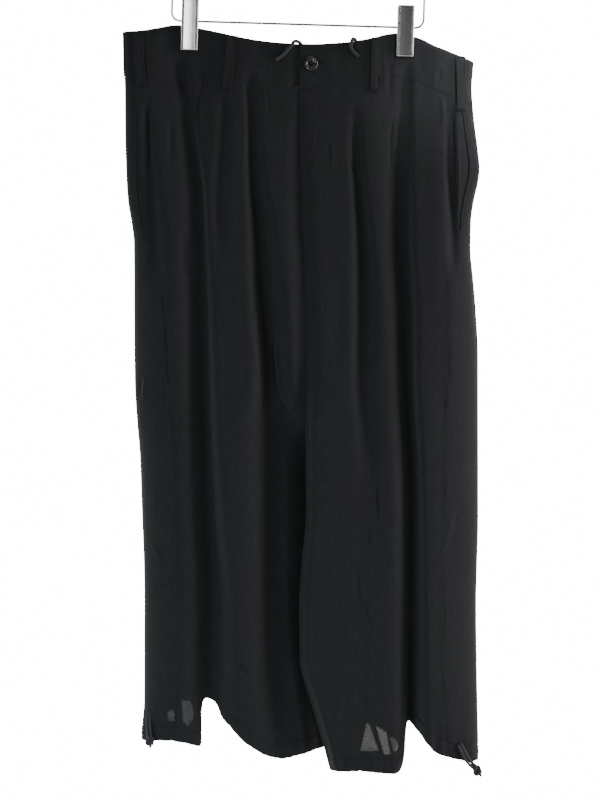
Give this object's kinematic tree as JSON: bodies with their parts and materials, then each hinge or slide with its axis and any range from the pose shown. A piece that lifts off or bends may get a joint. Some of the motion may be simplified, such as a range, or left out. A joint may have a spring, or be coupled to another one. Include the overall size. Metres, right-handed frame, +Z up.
{
  "type": "balloon pants on a clip hanger",
  "caption": "Wide black trousers with a tall waistband, deep hanging pleats and drawcord hems, held flat by a wire hanger's clips.",
  "frame": {"origin": "inner top of the hanger's hook, where it rests on its rail", "axes": "+Z up, the trousers' fronts face -Y, +X is the wearer's left"},
  "size_m": [0.4764, 0.0955, 1.1662],
  "materials": {
    "cloth": "matt",
    "cord": "matt",
    "button": "gloss",
    "wire": "bright",
    "clips": "satin"
  },
  "bodies": {
    "root": {"front_right": "cloth", "front_left": "cloth", "back_right": "cloth", "back_left": "cloth", "waistband_front_right": "cloth", "waistband_front_left": "cloth", "waistband_back_right": "cloth", "waistband_back_left": "cloth", "fly": "cloth", "pocket_edge_right": "cloth", "pocket_edge_left": "cloth", "loop_front_1": "cloth", "loop_front_2": "cloth", "loop_front_3": "cloth", "loop_front_4": "cloth", "loop_back_1": "cloth", "loop_back_2": "cloth", "loop_back_3": "cloth", "waist_cord_right": "cord", "waist_cord_left": "cord", "hem_cord_right_a": "cord", "hem_cord_right_b": "cord", "hem_cord_left_a": "cord", "hem_cord_left_b": "cord", "hem_knot_right": "cord", "hem_knot_left": "cord", "button": "button", "hanger_frame": "wire", "hanger_hook": "wire", "hanger_collar": "wire", "clip_right_spring": "wire", "clip_left_spring": "wire", "clip_right_front": "clips", "clip_right_back": "clips", "clip_left_front": "clips", "clip_left_back": "clips"}
  },
  "joints": []
}
